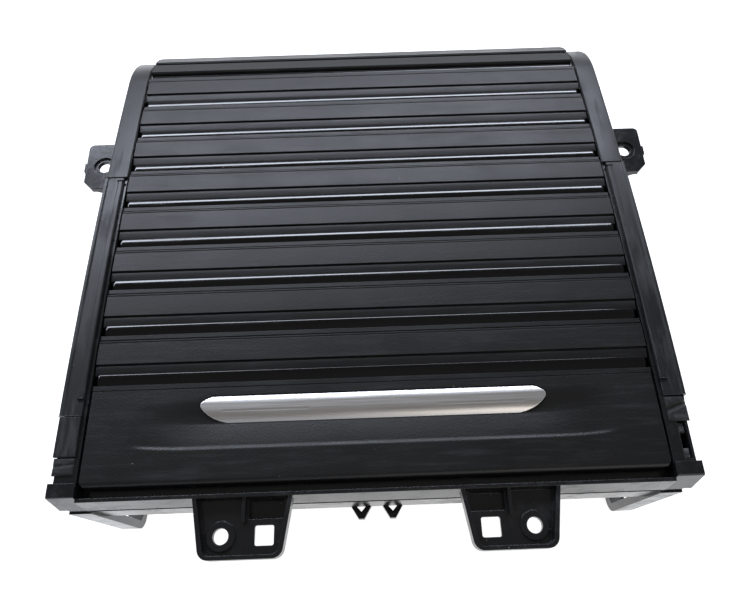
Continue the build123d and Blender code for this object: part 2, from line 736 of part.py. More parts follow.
def tab():
    """A mounting tab: a shallow tray with a round and a square hole."""
    root = TAB_ROOT_Y + TAB_SINK
    bottom = TAB_TOP - TAB_HEIGHT
    plan = make_face(Polyline(
        (TAB_CENTRE - TAB_ROOT / 2, root),
        (TAB_CENTRE + TAB_ROOT / 2, root),
        (TAB_CENTRE + TAB_TIP / 2, TAB_FRONT),
        (TAB_CENTRE - TAB_TIP / 2, TAB_FRONT),
        close=True,
    ))
    body = Pos(0, 0, bottom) * extrude(plan, amount=TAB_HEIGHT)
    body = fillet(body.edges().filter_by(Axis.Z).group_by(Axis.Y)[0], TAB_ROUND)
    hollow_plan = make_face(Polyline(
        (TAB_CENTRE - TAB_ROOT / 2 + TAB_WALL, root),
        (TAB_CENTRE + TAB_ROOT / 2 - TAB_WALL, root),
        (TAB_CENTRE + TAB_TIP / 2 - TAB_WALL, TAB_FRONT + TAB_WALL),
        (TAB_CENTRE - TAB_TIP / 2 + TAB_WALL, TAB_FRONT + TAB_WALL),
        close=True,
    ))
    hollow = Pos(0, 0, bottom + TAB_FLOOR) * extrude(hollow_plan, amount=TAB_HEIGHT)
    hollow = fillet(hollow.edges().filter_by(Axis.Z).group_by(Axis.Y)[0], TAB_ROUND - TAB_WALL)
    well_y = root - TAB_WELL_LENGTH
    well_x = TAB_CENTRE - TAB_ROOT / 2 + TAB_WALL + TAB_WELL_INSET
    floor = bottom + TAB_FLOOR
    shell = box_between(
        well_x - TAB_WALL, TAB_RIB_X, well_y - TAB_WALL, root, bottom - POCKET_DROP, bottom
    )
    well = box_between(
        well_x, TAB_RIB_X - TAB_WALL, well_y, root, bottom - POCKET_DROP + TAB_FLOOR, floor + 1
    )
    rib = box_between(
        TAB_RIB_X - TAB_RIB / 2, TAB_RIB_X + TAB_RIB / 2, well_y - TAB_WALL, root,
        floor, TAB_TOP - TAB_RIB_DROP,
    )
    boss = Pos(TAB_HOLE_X, TAB_HOLE_Y, floor + TAB_BOSS_RAISE / 2) * Cylinder(
        TAB_BOSS_R, TAB_BOSS_RAISE
    )
    hole = Pos(TAB_HOLE_X, TAB_HOLE_Y, floor) * Cylinder(TAB_HOLE_R, 6 * TAB_FLOOR)
    square = Pos(SQUARE_X, TAB_HOLE_Y, floor) * Box(SQUARE_SIDE, SQUARE_SIDE, 6 * TAB_FLOOR)
    square = fillet(square.edges().filter_by(Axis.Z), SQUARE_ROUND)
    return body - hollow + shell - well + rib + boss - hole - square


def wall_bracket():
    """The return that carries one end of the front wall on the cheek."""
    z1 = -BRACKET_TOP
    z0 = z1 - BRACKET_HEIGHT
    plate = box_between(INNER - BRACKET_THICK, INNER, WALL_BACK, BRACKET_REACH, z0, z1)
    y, z = screw_places()[0]
    hole = Pos(INNER, y, z) * Rot(0, 90, 0) * Cylinder(SCREW_R + SCREW_FIT, 3 * PLATE)
    return plate - hole


def front_wall():
    """The cross wall with its tabs and brackets, and a shelf behind it below the panel."""
    wall = side_slab(wall_outline(), -INNER, INNER)
    shelf = box_between(
        -INNER, INNER, WALL_BACK - WALL_BANDS[1][1] / 2, SHELF_REACH,
        -SHELF_TOP - SHELF_THICK, -SHELF_TOP,
    )
    right = tab() + wall_bracket()
    return wall + shelf + right + mirrored(right)


def catch_loop():
    """A V-shaped catch loop below the middle of the front wall."""
    z1 = wall_outline()[-1][1]
    y0 = WALL_BACK + LOOP_LAP
    y1 = y0 - LOOP_REACH
    wide = LOOP_WIDTH / 2
    eye = LOOP_WIDTH / 2 - LOOP_ARM
    outer = make_face(Polyline(
        (LOOP_X - wide, y0), (LOOP_X + wide, y0),
        (LOOP_X + LOOP_NOSE / 2, y1), (LOOP_X - LOOP_NOSE / 2, y1), close=True,
    ))
    inner = make_face(Polyline(
        (LOOP_X - eye, y0 - LOOP_THICK), (LOOP_X + eye, y0 - LOOP_THICK),
        (LOOP_X, y1 + LOOP_TIP), close=True,
    ))
    return Pos(0, 0, z1 - LOOP_HEIGHT) * extrude(outer - inner, amount=LOOP_HEIGHT)


def rear_tie_bar():
    """A channel across the base that holds the cheeks apart."""
    y1 = BAR_Y + BAR_LENGTH
    bar = box_between(-INNER, INNER, BAR_Y, y1, BASE_Z, BASE_Z + BAR_HEIGHT)
    hollow = box_between(
        -INNER + BAR_WALL, INNER - BAR_WALL, BAR_Y + BAR_WALL, y1 - BAR_WALL,
        BASE_Z + BAR_WALL, BASE_Z + BAR_HEIGHT + 1,
    )
    y, z = screw_places()[1]
    hole = Pos(0, y, z) * Rot(0, 90, 0) * Cylinder(SCREW_R + SCREW_FIT, 3 * INNER)
    return bar - hollow - hole


def frame_screws():
    """The four screws, each driven from outside through a cheek."""
    screws = []
    for side in (-1, 1):
        for y, z in screw_places():
            head = Pos(side * (PLATE_OUT + SCREW_HEAD / 2), y, z) * Rot(0, 90, 0) * Cylinder(
                SCREW_HEAD_R, SCREW_HEAD
            )
            shank = Pos(side * (PLATE_OUT - SCREW_LENGTH / 2), y, z) * Rot(0, 90, 0) * Cylinder(
                SCREW_R, SCREW_LENGTH
            )
            top = Pos(side * (PLATE_OUT + SCREW_HEAD), y, z)
            upright = top * Box(2 * DRIVE_DEPTH, DRIVE_SLOT, DRIVE_WIDTH)
            level = top * Box(2 * DRIVE_DEPTH, DRIVE_WIDTH, DRIVE_SLOT)
            screws.append(head + shank - upright - level)
    return Compound(children=screws)


def top_block(y0, y1, raise_by):
    """A short block on top of the rail, with a softened top edge."""
    block = arc_band(y0, y1, -raise_by, 0, RAIL_INNER, CAP_OUT - END_BLOCK_GAP)
    return fillet(block.edges().filter_by(Axis.X).group_by(Axis.Z)[-1], raise_by / 3)


def rubber_bumper(y0, y1):
    """A soft stop with two creases across it."""
    block = top_block(y0, y1, CAP_THICK)
    for share in BUMPER_CREASES:
        y = y0 + share * (y1 - y0)
        block = block - box_between(
            INNER, CAP_OUT, y - CREASE_WIDTH / 2, y + CREASE_WIDTH / 2, CREASE_FLOOR, 3
        )
    return block


# ---- build ---------------------------------------------------------------
save(front_panel(), "front_panel")
save(handle_strip(), "handle_strip")
save_pair(shoe(BLOCK_REAR + SHOE_STOP + SHOE_LENGTH / 2), "front_shoe")
save_pair(shoe(PANEL_LENGTH - REAR_SHOE), "rear_shoe")

one_slat = slat()
for number in range(1, SLAT_COUNT + 1):
    save(on_arc(slat_front(number)) * one_slat, f"slat_{number}")
    save(slat_web(number), f"web_{number}")

one_tail = tail_strip()
for number in range(1, TAIL_COUNT + 1):
    save(on_bend(tail_turn(number)) * one_tail, f"tail_strip_{number}")
    save(tail_web(number), f"tail_web_{number}")

side = cheek()
save(mirrored(side), "left_cheek")
save(side + recess_tray() - recess(), "right_cheek")
save_pair(rear_cap(), "rear_cap")
save_pair(front_cap(), "front_cap")
save_pair(corner_block(), "corner_block")
save(front_wall(), "front_wall")
save_pair(catch_loop(), "catch_loop")
save(rear_tie_bar(), "rear_tie_bar")
save(frame_screws(), "frame_screws")
bumper_front = BLOCK_REAR + BUMPER_SET_BACK
bumper_rear = bumper_front + LEFT_BUMPER
block_front = bumper_rear + CAP_JOINT
end_block = top_block(block_front, CAP_FRONT - END_BLOCK_GAP, CAP_THICK + END_BLOCK_RAISE)
save(mirrored(end_block), "left_end_block")
save(mirrored(rubber_bumper(bumper_front, bumper_rear)), "left_bumper")
save(rubber_bumper(CAP_FRONT - RIGHT_BUMPER, CAP_FRONT), "right_bumper")
for place, y in PAD_PLACES.items():
    save(recess_pad(y), "recess_pad_" + place)
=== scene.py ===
# %% [markdown]
# # Sliding tambour cover of a car's centre console
# A tambour is a curtain of stiff slats joined by soft webs, so it can slide round a bend
# as a roll-top desk does.  Here it closes a storage bin between the front seats.  The CAD
# model already holds every piece at its real size, so it is loaded as a fixed frame, and
# this file gives each surface its finish and makes the pieces whose curves matter most.
# %% Load the frame
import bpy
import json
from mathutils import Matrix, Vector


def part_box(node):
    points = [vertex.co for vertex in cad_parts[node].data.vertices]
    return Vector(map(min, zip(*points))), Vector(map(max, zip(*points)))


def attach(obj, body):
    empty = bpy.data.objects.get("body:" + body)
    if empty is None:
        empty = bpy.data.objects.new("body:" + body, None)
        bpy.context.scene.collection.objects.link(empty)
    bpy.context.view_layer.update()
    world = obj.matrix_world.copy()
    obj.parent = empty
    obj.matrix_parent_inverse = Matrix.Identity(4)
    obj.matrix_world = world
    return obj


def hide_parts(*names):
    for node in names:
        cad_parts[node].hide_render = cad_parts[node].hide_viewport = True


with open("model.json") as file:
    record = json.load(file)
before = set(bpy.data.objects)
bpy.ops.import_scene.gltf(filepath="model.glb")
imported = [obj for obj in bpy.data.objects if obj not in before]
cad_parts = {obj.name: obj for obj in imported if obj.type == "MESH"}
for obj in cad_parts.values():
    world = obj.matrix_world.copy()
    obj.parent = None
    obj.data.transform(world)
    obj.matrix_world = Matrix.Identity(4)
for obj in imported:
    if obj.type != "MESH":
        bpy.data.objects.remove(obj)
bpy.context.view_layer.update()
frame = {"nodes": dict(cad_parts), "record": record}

# %% [markdown]
# ## Where things are
# The curtain follows a very large arc.  Its axis is the slide's joint, so every place on
# the curtain can be said as a width x, a length s along the arc from the front edge, and a
# height n above the slats' top.  Near the rear the rails leave the arc on a small radius.
# %% The arc and the bend
import json
from math import cos, pi, radians, sin

import bpy
import numpy as np

MM = 0.001
behaviour = frame["record"]["behaviour"]
slide = next(joint for joint in behaviour["joints"] if joint["name"] == "cover_slide")
AXIS_Y, AXIS_Z = slide["pos_m"][1:]
_, panel_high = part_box("front_panel")
ARC_RADIUS = panel_high[2] - AXIS_Z
HALF = panel_high[0]
SLAT_LENGTH = 14.8 * MM
SLAT_THICK = 4.6 * MM
FRONT_DROP = 0.7 * MM
REAR_DROP = 0.55 * MM
BEND_RADIUS = 34 * MM
BEND_ANGLE = radians(50)


def rear_length(node):
    """Arc length of a curtain piece's rear edge: its highest y, read as a sine on the arc."""
    return ARC_RADIUS * np.arcsin((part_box(node)[1][1] - AXIS_Y) / (ARC_RADIUS - REAR_DROP))


RAIL_BEND = rear_length("slat_8") - 4 * MM


def on_arc(x, s, n):
    """Points from width, arc length and height: a turn of s / radius about the slide's axis."""
    x, s, n = np.broadcast_arrays(x, s, n)
    turn = s / ARC_RADIUS
    reach = ARC_RADIUS + n
    return np.stack([x, AXIS_Y + reach * np.sin(turn), AXIS_Z + reach * np.cos(turn)], axis=-1)


def on_rail(x, s, n):
    """The same arc up to RAIL_BEND, and past it a turn of (s - RAIL_BEND) / bend radius
    about the bend's centre."""
    x, s, n = np.broadcast_arrays(x, s, n)
    turn = np.minimum(s, RAIL_BEND) / ARC_RADIUS
    extra = np.maximum(s - RAIL_BEND, 0) / BEND_RADIUS
    centre = ARC_RADIUS - np.where(extra > 0, BEND_RADIUS, 0)
    reach = n + np.where(extra > 0, BEND_RADIUS, ARC_RADIUS)
    reach_from = np.where(extra > 0, centre, 0)
    y = AXIS_Y + reach_from * np.sin(turn) + reach * np.sin(turn + extra)
    z = AXIS_Z + reach_from * np.cos(turn) + reach * np.cos(turn + extra)
    return np.stack([x, y, z], axis=-1)


print(f"arc radius {ARC_RADIUS / MM:.0f} mm, rails bend {RAIL_BEND / MM:.1f} mm back")

# %% [markdown]
# ## Colours
# Colour pickers give sRGB values, but light adds up in linear ones, so each hex colour is
# turned to linear once, by one function.
# %% Hex to linear
def linear(code):
    """Linear red, green, blue and alpha of an sRGB hex colour: the standard sRGB curve."""
    parts = np.array([int(code[i:i + 2], 16) for i in (1, 3, 5)]) / 255
    curve = np.where(parts <= 0.04045, parts / 12.92, ((parts + 0.055) / 1.055) ** 2.4)
    return (*curve.tolist(), 1.0)


def add_node(tree, kind, inputs=(), **settings):
    """A node of that kind with its settings; inputs maps a socket to a value or an output."""
    node = tree.nodes.new(kind)
    for key, value in settings.items():
        setattr(node, key, value)
    for key, value in dict(inputs).items():
        if isinstance(value, bpy.types.NodeSocket):
            tree.links.new(value, node.inputs[key])
        else:
            node.inputs[key].default_value = value
    return node


def start_material(name):
    """A new material with a cleared node tree, and the piece's own coordinates in metres."""
    material = bpy.data.materials.new(name)
    material.use_nodes = True
    tree = material.node_tree
    tree.nodes.clear()
    place = add_node(tree, "ShaderNodeTexCoord").outputs["Object"]
    return material, tree, place


def per_mm(size):
    """The scale that makes a noise texture's blobs about size millimetres across."""
    return 1000 / size


print("plastic black", [round(v, 4) for v in linear("#26272a")])

# %% [markdown]
# ## Moulded black plastics
# Every black part here is injection moulded.  The steel mould is etched or polished, so
# the finish is a grain of a known size over the same black.  What the eye uses to tell
# one part from another is the grain, the gloss, and how the surface is scuffed: pale
# streaks where hands rub, dust specks scattered over it.  One recipe takes these as numbers.
# %% The moulded plastic recipe
def moulded(name, black, worn, grain_mm, grain_depth_mm, gloss, streak_mm, wear, dust, edge_mm):
    """Black plastic: grain bump, slow gloss change, stretched scuffs, specks, softened edges."""
    material, tree, place = start_material(name)
    slow = add_node(tree, "ShaderNodeTexNoise", {
        "Vector": place, "Scale": per_mm(24), "Detail": 4.0, "Roughness": 0.6})
    stretch = add_node(tree, "ShaderNodeMapping", {
        "Vector": place, "Scale": tuple(per_mm(size) for size in streak_mm)})
    streaks = add_node(tree, "ShaderNodeTexNoise", {
        "Vector": stretch.outputs[0], "Scale": 1.0, "Detail": 6.0, "Roughness": 0.72})
    scuffed = add_node(tree, "ShaderNodeMapRange", {
        "Value": streaks.outputs["Fac"], "From Min": 0.5, "From Max": 0.78, "To Max": wear})
    patchy = add_node(tree, "ShaderNodeMath", {
        0: scuffed.outputs[0], 1: slow.outputs["Fac"]}, operation="MULTIPLY")
    colour = add_node(tree, "ShaderNodeMix", {
        0: patchy.outputs[0], 6: linear(black), 7: linear(worn)}, data_type="RGBA")
    cells = add_node(tree, "ShaderNodeTexVoronoi", {
        "Vector": place, "Scale": per_mm(3.4), "Randomness": 1.0})
    speck = add_node(tree, "ShaderNodeMapRange", {
        "Value": cells.outputs["Distance"], "From Min": 0.035, "From Max": 0.075,
        "To Min": 1.0, "To Max": 0.0})
    chosen = add_node(tree, "ShaderNodeSeparateColor", {"Color": cells.outputs["Color"]})
    some = add_node(tree, "ShaderNodeMath", {
        0: chosen.outputs[0], 1: 1.0 - dust}, operation="GREATER_THAN")
    dusty = add_node(tree, "ShaderNodeMath", {
        0: speck.outputs[0], 1: some.outputs[0]}, operation="MULTIPLY")
    spotted = add_node(tree, "ShaderNodeMix", {
        0: dusty.outputs[0], 6: colour.outputs[2], 7: linear("#7d7b76")}, data_type="RGBA")
    rough = add_node(tree, "ShaderNodeMapRange", {
        "Value": slow.outputs["Fac"], "From Min": 0.3, "From Max": 0.7,
        "To Min": gloss[0], "To Max": gloss[1]})
    rougher = add_node(tree, "ShaderNodeMath", {
        0: rough.outputs[0], 1: patchy.outputs[0]}, operation="ADD", use_clamp=True)
    grain = add_node(tree, "ShaderNodeTexNoise", {
        "Vector": place, "Scale": per_mm(grain_mm), "Detail": 3.0, "Roughness": 0.55})
    soft_edge = add_node(tree, "ShaderNodeBevel", {"Radius": edge_mm * MM}, samples=6)
    bump = add_node(tree, "ShaderNodeBump", {
        "Height": grain.outputs["Fac"], "Distance": grain_depth_mm * MM, "Strength": 1.0,
        "Normal": soft_edge.outputs[0]})
    shader = add_node(tree, "ShaderNodeBsdfPrincipled", {
        "Base Color": spotted.outputs[2], "Roughness": rougher.outputs[0],
        "Normal": bump.outputs[0], "IOR": 1.5})
    add_node(tree, "ShaderNodeOutputMaterial", {"Surface": shader.outputs[0]})
    return material


print("dust is", [round(value, 3) for value in linear("#7d7b76")[:3]], "in linear light")

# %% [markdown]
# ## The six plastics
# Each plastic is chosen for its work: stiff PC/ABS for slats, soft TPE for webs that must
# bend, tough PP for clipped parts, EPDM for knocks and acetal where parts slide.  Its mould
# gives the grain size and the gloss that the eye tells it by.
# %% Six plastics
# Slats: PC/ABS from a spark-eroded mould.  A fine even grain breaks the highlight into a
# grey sheen, and rubbing hands leave pale streaks along the slats.
abs_grained = moulded("abs_spark_eroded_black", "#0a0b0c", "#46484c", 0.55, 0.06, (0.36, 0.44),
                      (26, 2.2, 9), 0.3, 0.06, 0.1)
# Webs: soft TPE moulded against polished steel.  It is darker and far glossier than the
# slats, with a few smears.
tpe_gloss = moulded("tpe_polished_black", "#040405", "#141516", 6.0, 0.004, (0.06, 0.11),
                    (30, 3, 8), 0.2, 0.02, 0.03)
# Caps: PP with a satin etch, so they are smooth and a little lighter than the slats.
pp_satin = moulded("pp_satin_black", "#1d1e21", "#626468", 0.8, 0.012, (0.3, 0.4),
                   (5, 30, 8), 0.8, 0.1, 0.25)
# Frame: talc-filled PP, semi-gloss, with scuffs from fitting and scattered specks of dust.
pp_frame = moulded("pp_semigloss_black", "#17181a", "#55565a", 1.4, 0.02, (0.16, 0.28),
                   (9, 9, 9), 0.5, 0.4, 0.4)
# Bumpers: soft EPDM rubber, matt and rough, with grey bloom.
epdm = moulded("epdm_matt_black", "#1a1a1b", "#77787a", 0.9, 0.12, (0.5, 0.7),
               (4, 4, 4), 0.9, 0.3, 0.3)
# Shoes: natural acetal dyed dark, smooth and waxy so that they slide.
acetal = moulded("acetal_slide_dark", "#2c2d2e", "#6a6b6c", 2.0, 0.01, (0.3, 0.38),
                 (6, 20, 6), 0.4, 0.05, 0.3)
print("six moulded plastics")

# %% [markdown]
# ## Foam, zinc and aluminium
# The pocket's pads are open-cell foam: a cell pattern deep enough to make its own shade.
# The screws are steel with a thin zinc plate.  The handle strip is rolled aluminium,
# brushed along its length: very fine lines stretch the highlight across them.
# %% Foam and metals
def foam():
    """Polyurethane foam: Voronoi cells as pits about 0.6 mm wide over a dusty grey."""
    material, tree, place = start_material("pu_foam_grey")
    cells = add_node(tree, "ShaderNodeTexVoronoi", {"Vector": place, "Scale": per_mm(0.6)})
    cloud = add_node(tree, "ShaderNodeTexNoise", {
        "Vector": place, "Scale": per_mm(2.5), "Detail": 5.0})
    ramp = add_node(tree, "ShaderNodeValToRGB", {"Fac": cloud.outputs["Fac"]})
    ramp.color_ramp.elements[0].position = 0.35
    ramp.color_ramp.elements[0].color = linear("#252627")
    ramp.color_ramp.elements[1].position = 0.7
    ramp.color_ramp.elements[1].color = linear("#77787a")
    bump = add_node(tree, "ShaderNodeBump", {
        "Height": cells.outputs["Distance"], "Distance": 0.3 * MM})
    shader = add_node(tree, "ShaderNodeBsdfPrincipled", {
        "Base Color": ramp.outputs[0], "Roughness": 0.92, "Normal": bump.outputs[0]})
    add_node(tree, "ShaderNodeOutputMaterial", {"Surface": shader.outputs[0]})
    return material


def brushed_metal(name, pale, dark, lines_mm, rough, depth_mm):
    """Metal brushed along x: noise stretched along the lines moves colour, gloss and height."""
    material, tree, place = start_material(name)
    along = add_node(tree, "ShaderNodeMapping", {
        "Vector": place, "Scale": tuple(per_mm(size) for size in lines_mm)})
    lines = add_node(tree, "ShaderNodeTexNoise", {
        "Vector": along.outputs[0], "Scale": 1.0, "Detail": 5.0, "Roughness": 0.65})
    ramp = add_node(tree, "ShaderNodeValToRGB", {"Fac": lines.outputs["Fac"]})
    ramp.color_ramp.elements[0].position = 0.3
    ramp.color_ramp.elements[0].color = linear(dark)
    ramp.color_ramp.elements[1].position = 0.7
    ramp.color_ramp.elements[1].color = linear(pale)
    gloss = add_node(tree, "ShaderNodeMapRange", {
        "Value": lines.outputs["Fac"], "From Min": 0.3, "From Max": 0.7,
        "To Min": rough - 0.05, "To Max": rough + 0.06})
    bump = add_node(tree, "ShaderNodeBump", {
        "Height": lines.outputs["Fac"], "Distance": depth_mm * MM})
    shader = add_node(tree, "ShaderNodeBsdfPrincipled", {
        "Base Color": ramp.outputs[0], "Metallic": 1.0, "Roughness": gloss.outputs[0],
        "Normal": bump.outputs[0]})
    add_node(tree, "ShaderNodeOutputMaterial", {"Surface": shader.outputs[0]})
    return material


pu_foam = foam()
aluminium = brushed_metal("aluminium_satin_brushed", "#e2e1e0", "#d0cecc", (22, 0.22, 0.22),
                          0.33, 0.0018)
zinc = brushed_metal("steel_zinc_plated", "#bdbdb8", "#8f8f8a", (1.5, 1.5, 1.5), 0.34, 0.01)
print("foam and two metals")

# %% [markdown]
# ## A profile carried along a path
# Most moulded parts here are one section carried along a line, so one function takes rings
# of points, joins neighbouring rings with quads and closes the two ends.  A Bevel modifier
# rounds the corners as a mould does, where the section leaves them square.
# %% Rings to a mesh
def carried(name, rings, material, body, nodes, bevel_mm=0.0, sharp=40):
    """A closed mesh from rings of equal size: ring i's point j joins ring i + 1's point j.
    All faces are turned over together if they look inwards on the whole."""
    count, size = rings.shape[:2]
    index = np.arange(count * size).reshape(count, size)
    here, there = index[:-1], index[1:]
    quads = np.stack([here, np.roll(here, -1, 1), np.roll(there, -1, 1), there], axis=-1)
    faces = quads.reshape(-1, 4).tolist() + [index[0].tolist(), index[-1][::-1].tolist()]
    points = rings.reshape(-1, 3)
    turned = np.cross(points[quads[..., 1]] - points[quads[..., 0]],
                      points[quads[..., 3]] - points[quads[..., 0]])
    outward = points[quads[..., 0]] - points.mean(axis=0)
    if np.sum(turned * outward) <= 0:
        faces = [face[::-1] for face in faces]
    mesh = bpy.data.meshes.new(name)
    mesh.from_pydata(points.tolist(), [], faces)
    mesh.validate()
    mesh.materials.append(material)
    mesh.polygons.foreach_set("use_smooth", np.ones(len(mesh.polygons), dtype=bool))
    piece = bpy.data.objects.new(name, mesh)
    bpy.context.scene.collection.objects.link(piece)
    if bevel_mm:
        bevel = piece.modifiers.new("mould_radius", "BEVEL")
        bevel.width = bevel_mm * MM
        bevel.segments = 3
        bevel.limit_method = "ANGLE"
        bevel.angle_limit = radians(sharp)
        bevel.harden_normals = True
    else:
        mesh.set_sharp_from_angle(angle=radians(sharp))
    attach(piece, body)
    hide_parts(*nodes)
    return piece


print("a section can be carried along the arc or the rail")


# %% [markdown]
# ## Slats
# A slat is a stiff strip with a raised face, a low band in front of it and a fine ridge
# and a lower band behind it.  The steps are under a millimetre, but each throws a thin
# line of light or shade, and those lines are what make the curtain look ribbed.
# %% Slats
FRONT_BAND = 3.4 * MM
LINE = 0.5 * MM
LINE_DEPTH = 0.35 * MM
RIDGE = 0.9 * MM
REAR_BAND = 1.7 * MM
FACE_FRONT = FRONT_BAND + LINE
RIDGE_REAR = SLAT_LENGTH - REAR_BAND - LINE
FACE_REAR = RIDGE_REAR - RIDGE
VALLEY = 0.3 * MM
BAND_SLOPE = 2.2 * MM
BAND_FALL = 0.45 * MM


def slat_section():
    """(length, height) corners of a slat, clockwise from its lower front corner."""
    mid = (FRONT_BAND + FACE_REAR) / 2
    return np.array([
        (0, -SLAT_THICK), (0, -FRONT_DROP - BAND_FALL), (BAND_SLOPE, -FRONT_DROP + 0.05 * MM),
        (FRONT_BAND, -FRONT_DROP + 0.05 * MM),
        (FRONT_BAND, -FRONT_DROP - LINE_DEPTH), (FACE_FRONT, -FRONT_DROP - LINE_DEPTH),
        (FACE_FRONT, -0.02 * MM), (mid, 0.0), (FACE_REAR, -0.02 * MM),
        (FACE_REAR + VALLEY / 2, -VALLEY), (FACE_REAR + VALLEY, -0.04 * MM),
        (RIDGE_REAR, -0.04 * MM), (RIDGE_REAR, -REAR_DROP - LINE_DEPTH),
        (RIDGE_REAR + LINE, -REAR_DROP - LINE_DEPTH), (RIDGE_REAR + LINE, -REAR_DROP),
        (SLAT_LENGTH, -REAR_DROP), (SLAT_LENGTH, -SLAT_THICK),
    ])


section = slat_section()
slats = []
for number in range(1, 9):
    node = f"slat_{number}"
    front = rear_length(node) - SLAT_LENGTH
    across = np.linspace(-HALF, HALF, 9)[:, None]
    rings = on_arc(across, front + section[:, 0], section[:, 1])
    slats.append(carried("grained_" + node, rings, abs_grained, "curtain",
                         [node], bevel_mm=0.18))
print(len(slats), "slats")

# %% [markdown]
# ## Webs
# The webs are the soft glossy strips between slats.  Their top is a low round bead, which
# catches one long thin highlight, and each end is rounded off just inside the slats' ends.
# %% Webs
WEB_LENGTH = 4.3 * MM
WEB_TOP = 0.78 * MM
WEB_CROWN = 0.21 * MM
WEB_BASE = 2.7 * MM
WEB_INSET = 0.6 * MM
WEB_ROUND = 1.1 * MM
WEB_LIP = 0.25 * MM
LIP_SHARE = 0.14


def web_rings(start):
    """A shallow arc, lip radii at both edges and a flat base, drawn in round at each end."""
    share = np.linspace(-1, 1, 25)
    edge = np.clip((np.abs(share) - 1 + LIP_SHARE) / LIP_SHARE, 0, 1)
    lift = -WEB_TOP - WEB_CROWN * share ** 2 - WEB_LIP * (1 - np.sqrt(1 - edge ** 2))
    length = np.concatenate([(share + 1) / 2, [1, 0]]) * WEB_LENGTH
    height = np.concatenate([lift, [-WEB_BASE, -WEB_BASE]])
    end = np.linspace(0, pi / 2, 8)
    x = np.concatenate([-HALF + WEB_INSET + WEB_ROUND * (1 - np.cos(end)),
                        HALF - WEB_INSET - WEB_ROUND * (1 - np.cos(end[::-1]))])
    shrink = 0.3 + 0.7 * np.concatenate([np.sin(end), np.sin(end[::-1])])
    middle = WEB_LENGTH / 2
    s = start + middle + (length - middle)[None, :] * shrink[:, None]
    n = -WEB_BASE + (height + WEB_BASE)[None, :] * (0.6 + 0.4 * shrink[:, None])
    return on_arc(x[:, None], s, n)


webs = []
for number in range(1, 9):
    front_piece = "front_panel" if number == 1 else f"slat_{number - 1}"
    rings = web_rings(rear_length(front_piece))
    webs.append(carried(f"gloss_web_{number}", rings, tpe_gloss, "curtain",
                        [f"web_{number}"], sharp=60))
print(len(webs), "webs")

# %% [markdown]
# ## Handle strip
# The handle is a strip of aluminium about 1 mm thick.  Its back edge turns down slightly,
# its middle is nearly flat and its front edge rolls down into the finger scoop.  A height
# over length and width says all three.  Each end is a blunt tip that slants to the front.
# %% Handle strip
handle_low, handle_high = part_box("handle_strip")
HANDLE_HALF = handle_high[0]
HANDLE_REAR = handle_high[1] - AXIS_Y - 0.6 * MM
HANDLE_FRONT = handle_low[1] - AXIS_Y
HANDLE_TOP = 0.2 * MM
HANDLE_DEEP = 1.9 * MM
TIP_BACK = 3.0 * MM
SHOULDER = 3.8 * MM
SLANT = 7.0 * MM
TOE_ROUND = 3.2 * MM
HEEL_LENGTH = 2.7 * MM
HEEL_DROP = 0.55 * MM
FLAT_TO = 4.6 * MM
STRIP_THICK = 1.0 * MM
STRIP_EDGE = 0.4 * MM
GROOVE_FROM = 22 * MM
GROOVE_TO = 50 * MM
GROOVE_BACK = 5.2 * MM
GROOVE_WIDTH = 0.34 * MM
GROOVE_DEPTH = 0.06 * MM


def handle_half(s):
    """Half width at length s: a rounded shoulder behind the tip, then a slant whose last
    part turns in quickly, which rounds the front corner."""
    back = HANDLE_REAR - s
    reach = np.clip(back / TIP_BACK, 0, 1)
    behind = HANDLE_HALF - SHOULDER * (1 - reach) ** 2.1
    slant = np.clip((back - TIP_BACK) / (HANDLE_REAR - HANDLE_FRONT - TIP_BACK), 0, 1)
    return behind - SLANT * slant ** 1.6 - TOE_ROUND * slant ** 9


def handle_rise(s):
    """Height at length s: falls by a square law to the back and a steeper one to the front."""
    back = HANDLE_REAR - s
    turn_down = HEEL_DROP * np.clip(1 - back / HEEL_LENGTH, 0, 1) ** 2
    roll = np.clip((back - FLAT_TO) / (HANDLE_REAR - HANDLE_FRONT - FLAT_TO), 0, 1) ** 2.1
    return HANDLE_TOP - turn_down - roll * HANDLE_DEEP


def groove(x, s, start, stop, at, width, depth):
    """A round-ended groove along x: depth times a bell curve of the distance to its line."""
    past = np.maximum(np.maximum(start - np.abs(x), np.abs(x) - stop), 0)
    return depth * np.exp(-(((s - at) ** 2 + past ** 2) / width ** 2) ** 2)


print(f"handle {2 * HANDLE_HALF / MM:.0f} mm long, {(HANDLE_REAR - HANDLE_FRONT) / MM:.1f} mm wide")

# %% [markdown]
# ## The strip's surface
# The top is a grid of points over the outline, closer together near the ends, where the
# curve is tight.  Its edge is rounded as a stamped strip's is, and the same height less the
# sheet's thickness gives the underside, so the strip has one thickness all over.
# %% Handle surface
def handle_rings():
    """Rows across the strip from front to back: the top from left to right, then the back."""
    share = np.linspace(-1, 1, 241)
    share = np.sign(share) * (1 - (1 - np.abs(share)) ** 1.25)
    s = np.linspace(HANDLE_FRONT, HANDLE_REAR, 61)[:, None]
    half = handle_half(s)
    x = share[None, :] * half
    inside = half - np.abs(x)
    past = np.maximum(STRIP_EDGE - inside, 0)
    side_drop = STRIP_EDGE - np.sqrt(np.maximum(STRIP_EDGE ** 2 - past ** 2, 0))
    line_at = HANDLE_REAR - GROOVE_BACK
    line = groove(x, s, GROOVE_FROM, GROOVE_TO, line_at, GROOVE_WIDTH, GROOVE_DEPTH)
    top = handle_rise(s) - side_drop - line
    under = np.broadcast_to(handle_rise(s) - STRIP_THICK, x.shape)
    ring_x = np.concatenate([x, x[:, ::-1]], axis=1)
    ring_n = np.concatenate([top, under[:, ::-1]], axis=1)
    return on_arc(ring_x, s, ring_n)


handle = carried("aluminium_handle", handle_rings(), aluminium, "curtain",
                 ["handle_strip"], sharp=50)
print("handle", len(handle.data.polygons), "faces")

